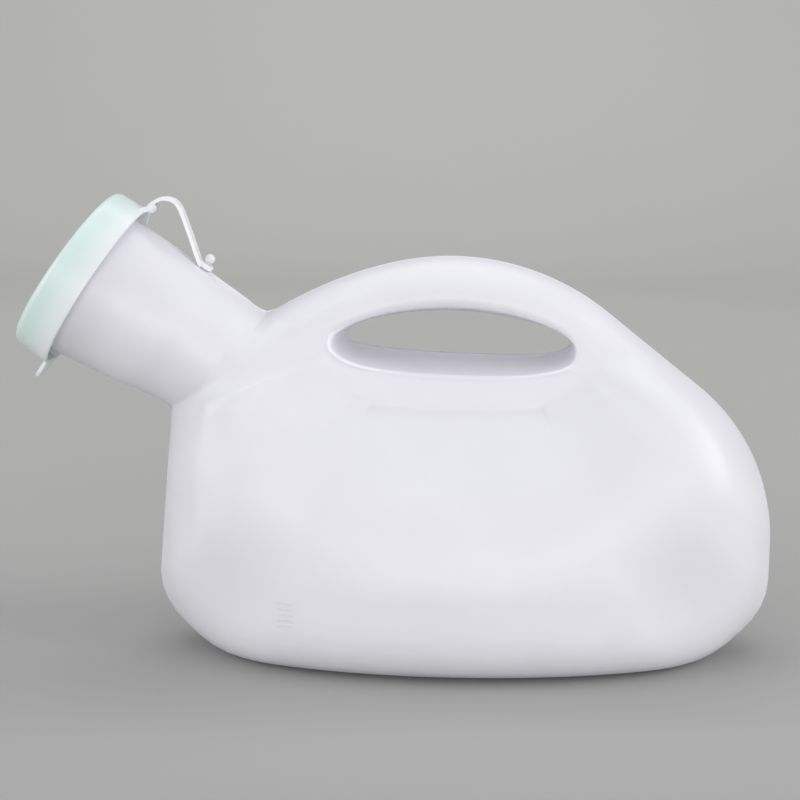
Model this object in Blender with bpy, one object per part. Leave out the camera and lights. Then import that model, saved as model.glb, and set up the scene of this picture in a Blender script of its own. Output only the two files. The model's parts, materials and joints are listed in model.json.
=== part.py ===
"""Ward urine bottle: a blow-moulded bottle with a grip slot, a push-on cap and the strap that keeps the cap.

Metres, +Z up. The origin is the middle of the flat base, and the mouth points to -X and up.
The bottle's outer skin is a cage of a few columns round the grip slot. Each cage point is a point of the
real surface, and the cage is adjusted until the smooth surface passes through those points.
"""
import math

import bmesh
import bpy
from mathutils import Matrix, Vector

# Bottle, side view
BODY_FRONT = 0.106          # base centre to the wall under the mouth
BODY_REAR = 0.106           # base centre to the rear end
REAR_HEIGHT = 0.040         # height at which the rear end reaches furthest
HANDLE_TOP = 0.1365         # height of the handle's crest
CREST_X = -0.005            # place of the crest along the bottle
SHOULDER_POWER = 1.7        # roundness of the slope from the crest to the rear end
HANDLE_RADIUS = 0.100       # radius of the handle's top from the crest to the neck
CORNER_RADIUS = 0.024       # lower corners in side view

# Bottle, across
TANK_WIDTH = 0.100
END_ROUNDING = 0.058        # how far from each end the sides begin to draw in
RIDGE_ROUNDING = 0.034      # the same for the slope behind the handle
BASE_ROUNDING = 0.019       # edge between side and base
HANDLE_WIDTH = 0.034
VALLEY_WIDTH = 0.042        # where the handle runs into the neck
WALL = 0.0016

# Grip slot
SLOT_X = -0.0015
SLOT_Z = 0.1105
SLOT_LENGTH = 0.079
SLOT_HEIGHT = 0.0158
SLOT_TILT = math.radians(-2.6)
SLOT_POWER = 2.3            # 2 is an ellipse, more is squarer
RIM_WIDTH = 0.038           # thickness of the bottle at the slot's rim
RIM_ROUNDING = 0.0055
BAND_HEIGHT = 0.010         # straight band under the rim, above the tank's shoulder
BAND_FLARE = 0.0025
SHOULDER_DROP = 0.052       # from the band down to the tank's full width

# Neck and mouth, side view
VALLEY = (-0.0660, 0.1170)          # where the handle meets the top of the neck
THROAT = (-0.1015, 0.0826)          # where the front wall meets the underside of the neck
COLLAR_TOP = (-0.1100, 0.1482)      # neck's top line at the cap's edge
COLLAR_LOW = (-0.1384, 0.1013)      # neck's lower line at the cap's edge
NECK_HALF_WIDTH = 0.0238            # at the root, across
LIP_STEP = 0.0018                   # the lip stands out from the neck by this
LIP_HEIGHT = 0.0090                 # from the cap's edge to the mouth
MOUTH_DRAW = 0.0008                 # the mouth's edge is drawn in from the lip

# Cap
CAP_TILT = math.radians(35.0)       # axis above the horizontal
CAP_CLEARANCE = 0.0005              # round the lip, where the skirt meets the top
CAP_SEAT = 0.0004                   # between the mouth and the cap's inner face
SKIRT_DRAFT = 0.0007                # the skirt opens by this towards its edge
SKIRT_WALL = 0.0010
CAP_PLATE = 0.0014
CAP_CROWN = 0.0010
CAP_EDGE_ROUND = 0.0026
TAB_LENGTH = 0.0066
TAB_WIDTH = 0.0140
TAB_THICKNESS = 0.0012

# Strap, ear and stud
BAR_RADIUS = 0.0006
EYE_GAP = 0.0003
EYE_WALL = 0.0007
EAR_ARM = 0.0011                    # width of each arm that carries the bar
EAR_THICKNESS = 0.0018
EDGE_SETBACK = 0.0003               # tab and ear start this far inside the skirt's edge
STRAP_WIDTH = 0.0054
STRAP_THICKNESS = 0.0010
STRAP_CREST = (0.0064, 0.0016)      # from the bar, along X and Z
STRAP_BEND = (0.0130, -0.0030)
STRAP_FALL = (0.0164, -0.0140)
STUD_FROM_VALLEY = 0.0285           # along the neck's top line
STUD_RADIUS = 0.0010
BALL_RADIUS = 0.0017
STUD_HEIGHT = 0.0039                # neck to the ball's centre
BUTTON_RADIUS = 0.0029
BUTTON_GAP = 0.0003

# Mesh density
ROWS = 8                    # from the slot to the outline
NECK_STEPS = 6              # half way round the neck
SMOOTH_LEVELS = 1
FIT_PASSES = 4
CAP_SIDES = 56

SIDE = Vector((0.0, 1.0, 0.0))      # across the bottle

for leftover in list(bpy.data.objects):
    bpy.data.objects.remove(leftover, do_unlink=True)


def make_material(name, colour, roughness):
    material = bpy.data.materials.new(name)
    material.use_nodes = True
    shader = material.node_tree.nodes["Principled BSDF"]
    shader.inputs["Base Color"].default_value = (*colour, 1.0)
    shader.inputs["Roughness"].default_value = roughness
    shader.inputs["Metallic"].default_value = 0.0
    return material


def make_object(name, mesh, material=None, hidden=False):
    piece = bpy.data.objects.new(name, mesh)
    bpy.context.scene.collection.objects.link(piece)
    if material:
        mesh.materials.append(material)
    if hidden:
        piece.hide_render = True
        piece.display_type = "WIRE"
    return piece


def mesh_from(name, points, faces):
    mesh = bpy.data.meshes.new(name)
    mesh.from_pydata([tuple(point) for point in points], [], faces)
    shape = bmesh.new()
    shape.from_mesh(mesh)
    bmesh.ops.recalc_face_normals(shape, faces=shape.faces[:])
    shape.to_mesh(mesh)
    shape.free()
    mesh.shade_smooth()
    mesh.set_sharp_from_angle(angle=math.radians(40))
    return mesh


def unite(piece, *operands):
    for operand in operands:
        join = piece.modifiers.new("join_" + operand.name, "BOOLEAN")
        join.operation = "UNION"
        join.solver = "EXACT"
        join.object = operand


def flat(point):
    """A side-view point (x, z) as a point of the middle plane."""
    return Vector((point[0], 0.0, point[1]))


def turned(name, profile, centre, axis, sides, closed=True):
    """Solid of revolution: profile is (distance from the axis, distance along it), ends on the axis."""
    across = (SIDE if abs(axis.dot(SIDE)) < 0.5 else Vector((1.0, 0.0, 0.0))).cross(axis).normalized()
    side = axis.cross(across)
    points = []
    faces = []
    rings = []
    for radius, along in profile:
        if radius == 0.0:
            rings.append([len(points)] * sides)
            points.append(centre + axis * along)
            continue
        rings.append([len(points) + step for step in range(sides)])
        for step in range(sides):
            angle = 2.0 * math.pi * step / sides
            points.append(centre + axis * along + (across * math.cos(angle) + side * math.sin(angle)) * radius)
    pairs = list(zip(rings, rings[1:]))
    if closed and profile[0][0] > 0.0:
        pairs.append((rings[-1], rings[0]))
    for lower, upper in pairs:
        for step in range(sides):
            after = (step + 1) % sides
            corners = [lower[step], lower[after], upper[after], upper[step]]
            faces.append([corner for place, corner in enumerate(corners) if corner not in corners[:place]])
    return mesh_from(name, points, faces)


# Shared places: the cap's frame sits at the middle of its open edge
collar_top = flat(COLLAR_TOP)
collar_low = flat(COLLAR_LOW)
collar_centre = (collar_top + collar_low) / 2.0
collar_radius = (collar_top - collar_low).length / 2.0
cap_axis = Vector((-math.cos(CAP_TILT), 0.0, math.sin(CAP_TILT)))
cap_up = Vector((math.sin(CAP_TILT), 0.0, math.cos(CAP_TILT)))
lip_radius = collar_radius + LIP_STEP
skirt_inner = lip_radius + CAP_CLEARANCE
skirt_outer = skirt_inner + SKIRT_DRAFT + SKIRT_WALL
bar_reach = skirt_outer + EYE_GAP + EYE_WALL + EYE_GAP + BAR_RADIUS
bar_centre = collar_centre + cap_up * bar_reach + cap_axis * (EDGE_SETBACK + EAR_THICKNESS / 2.0)
valley = flat(VALLEY)
neck_line = (collar_top - valley).normalized()
neck_normal = Vector((neck_line.z, 0.0, -neck_line.x))
stud_foot = valley + neck_line * STUD_FROM_VALLEY


def slot_point(angle):
    """Point of the slot's edge in the middle plane: a slightly tilted superellipse."""
    reach = SLOT_LENGTH / 2.0 * math.copysign(abs(math.cos(angle)) ** (2.0 / SLOT_POWER), math.cos(angle))
    rise = SLOT_HEIGHT / 2.0 * math.copysign(abs(math.sin(angle)) ** (2.0 / SLOT_POWER), math.sin(angle))
    return Vector((SLOT_X + reach * math.cos(SLOT_TILT) - rise * math.sin(SLOT_TILT), 0.0,
                   SLOT_Z + reach * math.sin(SLOT_TILT) + rise * math.cos(SLOT_TILT)))


def shoulder_point(share):
    """Point of the top outline from the crest (share 0) to the rear end (share 1)."""
    angle = (1.0 - share) * math.pi / 2.0
    across = math.cos(angle) ** (2.0 / SHOULDER_POWER)
    above = math.sin(angle) ** (2.0 / SHOULDER_POWER)
    return Vector((CREST_X + (BODY_REAR - CREST_X) * across, 0.0,
                   REAR_HEIGHT + (HANDLE_TOP - REAR_HEIGHT) * above))


def crest_point(share):
    """Point of the handle's top from the valley by the neck (share 0) to the crest (share 1)."""
    reach = CREST_X - VALLEY[0]
    offset = reach * (1.0 - share)
    full_drop = HANDLE_RADIUS - math.sqrt(HANDLE_RADIUS ** 2 - reach ** 2)
    drop = HANDLE_RADIUS - math.sqrt(HANDLE_RADIUS ** 2 - offset ** 2)
    return Vector((CREST_X - offset, 0.0, HANDLE_TOP - (HANDLE_TOP - VALLEY[1]) * drop / full_drop))


def corner_point(end_x, share):
    """Point of a lower corner, from the wall (share 0) to the base (share 1)."""
    angle = share * math.pi / 2.0
    inward = math.copysign(CORNER_RADIUS, -end_x)
    return Vector((end_x + inward * (1.0 - math.cos(angle)), 0.0, CORNER_RADIUS * (1.0 - math.sin(angle))))


def rounding(distance, radius):
    """Height of a rounded edge, 0 at the edge and 1 from radius inwards."""
    share = min(max(distance / radius, 0.0), 1.0)
    return math.sqrt(1.0 - (1.0 - share) ** 2)


def half_width(distance, full):
    """Half thickness of the bottle at a distance from the slot's edge, before its outer edges draw in."""
    rim = RIM_WIDTH / 2.0
    if distance <= RIM_ROUNDING:
        return rim * rounding(distance, RIM_ROUNDING)
    if distance <= RIM_ROUNDING + BAND_HEIGHT:
        return rim + BAND_FLARE * (distance - RIM_ROUNDING) / BAND_HEIGHT
    share = min((distance - RIM_ROUNDING - BAND_HEIGHT) / SHOULDER_DROP, 1.0)
    return rim + BAND_FLARE + (full - rim - BAND_FLARE) * math.sin(share * math.pi / 2.0)


class Column:
    """A line of cage points from the slot's edge to the outline, in front of the middle plane."""

    def __init__(self, angle, end, edge, tank=1.0, base=0.0, end_half=0.0, full=TANK_WIDTH / 2.0):
        self.start = slot_point(math.radians(angle))
        self.end = end
        self.edge = edge            # how far from the outline the sides draw in
        self.tank = tank            # 0 on the handle, 1 on the tank
        self.base = base            # 1 where the column ends on the flat base
        self.end_half = end_half    # half width at the column's end
        self.full = full            # half width that the column swells to

    def distances(self, length):
        """Row places along a tank column: rim, band, shoulder, side and outer edge."""
        near = [0.0, RIM_ROUNDING * 0.3, RIM_ROUNDING, RIM_ROUNDING + BAND_HEIGHT]
        left = length - near[-1]
        spread = [0.30, 0.58, 0.80, 0.95, 1.0]
        return near + [near[-1] + left * share for share in spread]

    def rows(self):
        line = self.end - self.start
        length = line.length
        direction = line / length
        points = []
        for row, distance in enumerate(self.distances(length)):
            half = half_width(distance, self.full)
            place = self.start + direction * distance
            if self.base > 0.0:
                reach = BODY_REAR if place.x > 0.0 else BODY_FRONT
                half_base = half * rounding(reach - abs(place.x), END_ROUNDING)
            drawn = rounding(length - distance, self.edge)
            half_tank = math.sqrt(self.end_half ** 2 + max(half ** 2 - self.end_half ** 2, 0.0) * drawn ** 2)
            turn = math.pi * row / ROWS
            half_handle = HANDLE_WIDTH / 2.0 * math.sin(turn)
            distance_handle = length * (1.0 - math.cos(turn)) / 2.0
            if self.base > 0.0:
                place, half_tank = self.on_base(row, place, half_base, half_tank, direction, length)
            place_handle = self.start + direction * distance_handle
            place = place_handle.lerp(place, self.tank)
            half = half_handle + (half_tank - half_handle) * self.tank
            if row == ROWS:
                half = self.end_half
            points.append(Vector((place.x, -half, place.z)))
        return points

    def on_base(self, row, place, half_base, half_tank, direction, length):
        """The last three rows go round the base's edge to the middle of the base."""
        left = {ROWS - 2: BASE_ROUNDING, ROWS - 1: 0.0, ROWS: 0.0}.get(row)
        if left is not None:
            low = self.start + direction * (length - left)
            place = place.lerp(low, self.base)
        if row == ROWS - 1:
            half_base = max(half_base - BASE_ROUNDING, half_base * 0.5)
        if row == ROWS:
            half_base = 0.0
        return place, half_tank + (half_base - half_tank) * self.base


def bottle_columns():
    """All columns once round the slot, from the neck's valley over the front, base, rear and handle."""
    columns = []
    throat = flat(THROAT)
    root_centre = (valley + throat) / 2.0
    for step in range(NECK_STEPS + 1):
        turn = math.pi * step / NECK_STEPS
        end = root_centre + (valley - throat) / 2.0 * math.cos(turn)
        half = NECK_HALF_WIDTH * math.sin(turn)
        share = (step / NECK_STEPS) ** 1.5
        full = VALLEY_WIDTH / 2.0 + (TANK_WIDTH * 0.92 - VALLEY_WIDTH) / 2.0 * share
        edge = RIDGE_ROUNDING * (0.55 + 0.45 * share)
        tank = min(0.65 + 0.2 * step, 1.0)
        columns.append(Column(160.0 + 7.0 * step, end, edge, tank=tank, end_half=half, full=full))
    wall_foot = corner_point(-BODY_FRONT, 0.0)
    columns.append(Column(212.0, throat.lerp(wall_foot, 0.52), END_ROUNDING))
    columns.append(Column(221.0, wall_foot, END_ROUNDING, base=0.2))
    columns.append(Column(230.0, corner_point(-BODY_FRONT, 0.55), END_ROUNDING, base=0.6))
    first = corner_point(-BODY_FRONT, 1.0).x
    last = corner_point(BODY_REAR, 1.0).x
    for step in range(6):
        share = step / 5.0
        columns.append(Column(240.0 + 56.0 * share, Vector((first + (last - first) * share, 0.0, 0.0)),
                              END_ROUNDING, base=1.0))
    columns.append(Column(306.0, corner_point(BODY_REAR, 0.55), END_ROUNDING, base=0.6))
    columns.append(Column(317.0, corner_point(BODY_REAR, 0.0), END_ROUNDING, base=0.2))
    columns.append(Column(329.0, shoulder_point(0.80), END_ROUNDING))
    columns.append(Column(341.0, shoulder_point(0.62), END_ROUNDING * 0.8))
    columns.append(Column(357.0, shoulder_point(0.46), RIDGE_ROUNDING, tank=0.75))
    columns.append(Column(36.0, shoulder_point(0.32), RIDGE_ROUNDING * 0.6, tank=0.3))
    columns.append(Column(66.0, shoulder_point(0.17), RIDGE_ROUNDING, tank=0.0))
    columns.append(Column(94.0, shoulder_point(0.0), RIDGE_ROUNDING, tank=0.0))
    columns.append(Column(118.0, crest_point(0.66), RIDGE_ROUNDING, tank=0.0))
    columns.append(Column(140.0, crest_point(0.33), RIDGE_ROUNDING * 0.6, tank=0.3, full=VALLEY_WIDTH / 2.0))
    return columns


def neck_rings():
    """Rings from the neck's root to the mouth: centre, half diameter up the ring, half width."""
    throat = flat(THROAT)
    rings = []
    for share in (0.33, 0.68, 1.0):
        top = valley.lerp(collar_top, share)
        low = throat.lerp(collar_low, share)
        half = NECK_HALF_WIDTH + (collar_radius - NECK_HALF_WIDTH) * share
        rings.append(((top + low) / 2.0, (top - low) / 2.0, half))
    finish = [(0.22, collar_radius), (0.38, lip_radius), (0.80, lip_radius), (1.0, lip_radius - MOUTH_DRAW)]
    for share, radius in finish:
        rings.append((collar_centre + cap_axis * (LIP_HEIGHT * share), cap_up * radius, radius))
    return rings


def bottle_cage():
    """Points and quads of the outer skin, both halves, open at the mouth."""
    columns = bottle_columns()
    points = []
    lookup = {}

    def index(point, mirrored=False):
        place = (point.x, -point.y if mirrored else point.y, point.z)
        key = tuple(round(value, 7) + 0.0 for value in place)
        if key not in lookup:
            lookup[key] = len(points)
            points.append(Vector(place))
        return lookup[key]

    faces = []
    grid = []
    for place, column in enumerate(columns):
        rows = column.rows()
        rows[0].y = 0.0
        if not 0 < place < NECK_STEPS:
            rows[-1].y = 0.0
        grid.append(rows)
    for mirrored in (False, True):
        for place, rows in enumerate(grid):
            following = grid[(place + 1) % len(grid)]
            for row in range(ROWS):
                quad = [rows[row], rows[row + 1], following[row + 1], following[row]]
                corners = [index(point, mirrored) for point in quad]
                faces.append(corners if mirrored else corners[::-1])
    root = [grid[step][-1] for step in range(NECK_STEPS + 1)]
    halves = [root]
    for centre, up, half in neck_rings():
        ring = []
        for step in range(NECK_STEPS + 1):
            turn = math.pi * step / NECK_STEPS
            across = 0.0 if step in (0, NECK_STEPS) else half * math.sin(turn)
            ring.append(centre + up * math.cos(turn) - Vector((0.0, across, 0.0)))
        halves.append(ring)
    for mirrored in (False, True):
        for lower, upper in zip(halves, halves[1:]):
            for step in range(NECK_STEPS):
                quad = [lower[step], upper[step], upper[step + 1], lower[step + 1]]
                corners = [index(point, mirrored) for point in quad]
                faces.append(corners if mirrored else corners[::-1])
    return points, faces


def fit_cage(points, faces):
    """Move the cage until its smooth surface passes through the given points."""
    edge_faces = {}
    for face in faces:
        for place, corner in enumerate(face):
            edge = frozenset((corner, face[(place + 1) % 4]))
            edge_faces[edge] = edge_faces.get(edge, 0) + 1
    neighbours = [set() for _ in points]
    rim_neighbours = [set() for _ in points]
    diagonals = [[] for _ in points]
    for edge, count in edge_faces.items():
        one, two = edge
        neighbours[one].add(two)
        neighbours[two].add(one)
        if count == 1:
            rim_neighbours[one].add(two)
            rim_neighbours[two].add(one)
    for face in faces:
        for place, corner in enumerate(face):
            diagonals[corner].append(face[(place + 2) % 4])
    cage = [point.copy() for point in points]
    for _ in range(FIT_PASSES):
        smooth = []
        for place, point in enumerate(cage):
            if rim_neighbours[place]:
                total = sum((cage[other] for other in rim_neighbours[place]), Vector())
                smooth.append((point * 4.0 + total) / 6.0)
                continue
            valence = len(neighbours[place])
            sides = sum((cage[other] for other in neighbours[place]), Vector())
            corners = sum((cage[other] for other in diagonals[place]), Vector())
            smooth.append((point * valence ** 2 + sides * 4.0 + corners) / (valence * (valence + 5.0)))
        for place, point in enumerate(points):
            cage[place] += point - smooth[place]
    return cage


def build_bottle(material):
    points, faces = bottle_cage()
    cage = make_object("bottle_cage", mesh_from("bottle_cage", fit_cage(points, faces), faces), hidden=True)
    smooth = cage.modifiers.new("smooth_skin", "SUBSURF")
    smooth.levels = SMOOTH_LEVELS
    smooth.render_levels = SMOOTH_LEVELS
    bpy.context.view_layer.update()
    skin = bpy.data.meshes.new_from_object(cage.evaluated_get(bpy.context.evaluated_depsgraph_get()))
    skin.name = "bottle_skin"
    bpy.data.objects.remove(cage, do_unlink=True)
    for vertex in skin.vertices:
        if vertex.co.z < WALL / 2.0:
            vertex.co.z = 0.0
    skin.materials.clear()
    skin.shade_smooth()
    bottle = make_object("bottle_body", skin, material)
    shell = bottle.modifiers.new("wall", "SOLIDIFY")
    shell.thickness = WALL
    shell.offset = -1.0
    shell.use_quality_normals = True
    shell.use_rim = True
    stud_profile = [(0.0, -WALL * 0.6), (STUD_RADIUS * 1.7, -WALL * 0.6), (STUD_RADIUS * 1.4, BUTTON_GAP * 0.5),
                    (STUD_RADIUS, BUTTON_GAP)]
    start = math.asin(STUD_RADIUS / BALL_RADIUS)
    for step in range(6):
        angle = math.pi - start - (math.pi - start) * step / 5.0
        radius = BALL_RADIUS * math.sin(angle) if step < 5 else 0.0
        stud_profile.append((radius, STUD_HEIGHT + BALL_RADIUS * math.cos(angle)))
    stud = make_object("stud", turned("stud", stud_profile, stud_foot, neck_normal, 14), hidden=True)
    unite(bottle, stud)
    return bottle


def cap_profile():
    """Section of the cap from the inner middle over the skirt's edge to the outer middle."""
    inner_top = LIP_HEIGHT + CAP_SEAT
    outer_top = inner_top + CAP_PLATE
    shoulder = skirt_outer - SKIRT_DRAFT
    profile = [(0.0, inner_top + CAP_CROWN * 0.6), (skirt_inner * 0.55, inner_top + CAP_CROWN * 0.45),
               (skirt_inner * 0.9, inner_top), (skirt_inner, inner_top), (skirt_inner + SKIRT_DRAFT, 0.0),
               (skirt_outer, 0.0), (skirt_outer, SKIRT_WALL), (shoulder, outer_top - CAP_EDGE_ROUND)]
    for step in range(1, 5):
        angle = math.pi / 2.0 * step / 4.0
        profile.append((shoulder - CAP_EDGE_ROUND * (1.0 - math.cos(angle)),
                        outer_top - CAP_EDGE_ROUND * (1.0 - math.sin(angle))))
    profile.append((skirt_inner * 0.55, outer_top + CAP_CROWN * 0.8))
    profile.append((0.0, outer_top + CAP_CROWN))
    return profile


def plate(name, outline, half_width, thickness, corner, origin, along, normal):
    """A flat tongue: (reach) stations from outline, square at its root and round at its free corners."""
    root, tip = outline
    rim = [(root, -half_width)]
    for sign in (-1.0, 1.0):
        for step in range(4):
            angle = math.pi / 2.0 * (step if sign < 0.0 else 3 - step) / 3.0
            rim.append((tip - corner * (1.0 - math.sin(angle)), sign * (half_width - corner * (1.0 - math.cos(angle)))))
    rim.append((root, half_width))
    points = [origin + along * reach + SIDE * across + normal * height
              for height in (0.0, thickness) for reach, across in rim]
    count = len(rim)
    faces = [list(range(count)), list(range(count, 2 * count))[::-1]]
    for place in range(count):
        after = (place + 1) % count
        faces.append([place, after, count + after, count + place])
    return mesh_from(name, points, faces)


def build_cap(material):
    cap_mesh = turned("cap", cap_profile(), collar_centre, cap_axis, CAP_SIDES, closed=False)
    bury = skirt_outer - SKIRT_WALL * 0.6
    edge = collar_centre + cap_axis * EDGE_SETBACK
    tab_root = bury - TAB_WIDTH ** 2 / (8.0 * skirt_outer)
    tab = plate("pull_tab", (tab_root, skirt_outer + TAB_LENGTH), TAB_WIDTH / 2.0, TAB_THICKNESS,
                TAB_LENGTH * 0.6, edge, -cap_up, cap_axis)
    parts = [make_object("pull_tab", tab, hidden=True)]
    inner = STRAP_WIDTH / 2.0 + EYE_GAP
    arm_root = bury - inner ** 2 / (2.0 * skirt_outer)
    for sign in (-1.0, 1.0):
        arm = plate("ear_arm", (arm_root, bar_reach + EAR_THICKNESS / 2.0), EAR_ARM / 2.0, EAR_THICKNESS,
                    EAR_ARM * 0.3, edge + SIDE * (sign * (inner + EAR_ARM / 2.0)), cap_up, cap_axis)
        parts.append(make_object("ear_arm", arm, hidden=True))
    reach = inner + EAR_ARM * 0.5
    bar_profile = [(0.0, -reach), (BAR_RADIUS, -reach), (BAR_RADIUS, reach), (0.0, reach)]
    parts.append(make_object("ear_bar", turned("ear_bar", bar_profile, bar_centre, SIDE, 10), hidden=True))
    cap_mesh.transform(Matrix.Translation(-bar_centre))
    cap = make_object("cap", cap_mesh, material)
    cap.location = bar_centre
    unite(cap, *parts)
    return cap


def strap_path():
    """Centre line of the strap from the eye's rim to the button, in the middle plane."""
    bar = bar_centre
    eye = BAR_RADIUS + EYE_GAP + EYE_WALL / 2.0
    crest = bar + flat(STRAP_CREST)
    bend = bar + flat(STRAP_BEND)
    fall = bar + flat(STRAP_FALL)
    button = stud_foot + neck_normal * (BUTTON_GAP + STRAP_THICKNESS / 2.0)
    knots = [bar + Vector((-eye, 0.0, 0.0)), bar + Vector((0.0, 0.0, eye)), crest, bend, fall,
             button + neck_line * (BUTTON_RADIUS * 0.75), button, button - neck_line * BUTTON_RADIUS]
    path = []
    steps = 6
    for place in range(1, len(knots) - 2):
        before, start, end, after = knots[place - 1:place + 3]
        for step in range(steps):
            share = step / steps
            path.append(0.5 * (2.0 * start + (end - before) * share
                               + (2.0 * before - 5.0 * start + 4.0 * end - after) * share ** 2
                               + (3.0 * start - before - 3.0 * end + after) * share ** 3))
    return path[:-steps + 2]


def build_strap(material):
    path = strap_path()
    side = Vector((0.0, STRAP_WIDTH / 2.0, 0.0))
    points = []
    faces = []
    for place, centre in enumerate(path):
        ahead = path[min(place + 1, len(path) - 1)] - path[max(place - 1, 0)]
        lift = Vector((-ahead.z, 0.0, ahead.x)).normalized() * (STRAP_THICKNESS / 2.0)
        points += [centre + side + lift, centre - side + lift, centre - side - lift, centre + side - lift]
    for place in range(len(path) - 1):
        for corner in range(4):
            after = (corner + 1) % 4
            faces.append([4 * place + corner, 4 * place + after, 4 * place + 4 + after, 4 * place + 4 + corner])
    faces.append([3, 2, 1, 0])
    last = 4 * (len(path) - 1)
    faces.append([last, last + 1, last + 2, last + 3])
    strap = make_object("tether_strap", mesh_from("tether_strap", points, faces), material)
    inner = BAR_RADIUS + EYE_GAP
    outer = inner + EYE_WALL
    half = STRAP_WIDTH / 2.0
    eye_profile = [(inner, -half), (outer, -half), (outer, half), (inner, half)]
    eye = turned("strap_eye", eye_profile, bar_centre, SIDE, 16)
    hole = STUD_RADIUS + EYE_GAP
    button_profile = [(hole, BUTTON_GAP), (BUTTON_RADIUS, BUTTON_GAP),
                      (BUTTON_RADIUS, BUTTON_GAP + STRAP_THICKNESS), (hole, BUTTON_GAP + STRAP_THICKNESS)]
    button = turned("strap_button", button_profile, stud_foot, neck_normal, 20)
    unite(strap, make_object("strap_eye", eye, hidden=True), make_object("strap_button", button, hidden=True))
    bore_profile = [(0.0, 0.0), (hole, 0.0), (hole, BUTTON_GAP + 2.0 * STRAP_THICKNESS),
                    (0.0, BUTTON_GAP + 2.0 * STRAP_THICKNESS)]
    eye_bore = [(0.0, -2.0 * half), (inner, -2.0 * half), (inner, 2.0 * half), (0.0, 2.0 * half)]
    cutters = [turned("stud_bore", bore_profile, stud_foot, neck_normal, 20),
               turned("eye_bore", eye_bore, bar_centre, SIDE, 16)]
    for mesh in cutters:
        cut = strap.modifiers.new("cut_" + mesh.name, "BOOLEAN")
        cut.operation = "DIFFERENCE"
        cut.solver = "EXACT"
        cut.object = make_object(mesh.name, mesh, hidden=True)
    return strap


polyethylene = make_material("white_polyethylene", (0.78, 0.78, 0.82), 0.42)
mint = make_material("mint_polyethylene", (0.74, 0.86, 0.80), 0.35)
white = make_material("white_strap_plastic", (0.85, 0.85, 0.85), 0.40)
build_bottle(polyethylene)
build_cap(mint)
build_strap(white)
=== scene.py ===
# Ward urine bottle: the looks of the bottle, its push-on cap and the strap between them
import json
import math

import bmesh
import bpy
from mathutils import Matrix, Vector
from mathutils.bvhtree import BVHTree


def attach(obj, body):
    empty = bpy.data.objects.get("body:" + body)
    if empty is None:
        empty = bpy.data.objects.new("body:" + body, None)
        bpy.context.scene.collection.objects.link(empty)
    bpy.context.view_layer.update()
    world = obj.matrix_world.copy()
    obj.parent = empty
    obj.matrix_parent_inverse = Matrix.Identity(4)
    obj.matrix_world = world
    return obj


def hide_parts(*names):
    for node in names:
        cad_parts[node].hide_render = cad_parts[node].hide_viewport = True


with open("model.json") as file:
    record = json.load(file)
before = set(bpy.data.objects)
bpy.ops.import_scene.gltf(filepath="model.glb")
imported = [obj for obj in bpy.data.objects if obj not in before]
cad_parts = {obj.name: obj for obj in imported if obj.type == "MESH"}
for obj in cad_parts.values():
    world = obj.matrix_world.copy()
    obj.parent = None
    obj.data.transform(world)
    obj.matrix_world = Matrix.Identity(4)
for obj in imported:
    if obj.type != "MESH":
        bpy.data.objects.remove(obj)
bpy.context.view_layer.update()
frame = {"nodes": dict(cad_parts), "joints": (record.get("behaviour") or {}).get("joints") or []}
print("frame loaded:", sorted(frame["nodes"]))

sideways = Vector((0.0, 1.0, 0.0))  # across the bottle


# Small helpers for colours, nodes and meshes

def hexColour(text):  # sRGB hex to linear RGBA
    levels = [int(text[place:place + 2], 16) / 255.0 for place in (1, 3, 5)]
    linear = [level / 12.92 if level <= 0.04045 else ((level + 0.055) / 1.055) ** 2.4 for level in levels]
    return linear + [1.0]


def addNode(tree, kind, settings=None, links=None):
    node = tree.nodes.new(kind)
    for name, value in (settings or {}).items():
        if name in node.inputs:
            node.inputs[name].default_value = value
        else:
            setattr(node, name, value)
    for name, source in (links or {}).items():
        tree.links.new(source, node.inputs[name])
    return node


def newMaterial(name):
    material = bpy.data.materials.new(name)
    material.use_nodes = True
    material.node_tree.nodes.clear()
    return material, material.node_tree


def newPiece(name, mesh, *materials):
    piece = bpy.data.objects.new(name, mesh)
    bpy.context.scene.collection.objects.link(piece)
    for material in materials:
        mesh.materials.append(material)
    return piece


def meshFrom(name, points, faces, sharpAngle=40.0):
    mesh = bpy.data.meshes.new(name)
    mesh.from_pydata([tuple(point) for point in points], [], faces)
    shape = bmesh.new()
    shape.from_mesh(mesh)
    bmesh.ops.recalc_face_normals(shape, faces=shape.faces[:])
    shape.to_mesh(mesh)
    shape.free()
    mesh.shade_smooth()
    mesh.set_sharp_from_angle(angle=math.radians(sharpAngle))
    return mesh


def finishedMesh(piece):  # the mesh with its modifiers applied
    bpy.context.view_layer.update()
    depsgraph = bpy.context.evaluated_depsgraph_get()
    mesh = bpy.data.meshes.new_from_object(piece.evaluated_get(depsgraph))
    piece.modifiers.clear()
    piece.data = mesh


def combine(piece, mesh, operation="UNION"):  # Boolean with a mesh that is not kept
    operand = newPiece("operand", mesh)
    cut = piece.modifiers.new("combine", "BOOLEAN")
    cut.operation = operation
    cut.solver = "EXACT"
    cut.object = operand
    finishedMesh(piece)
    bpy.data.objects.remove(operand, do_unlink=True)


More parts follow.
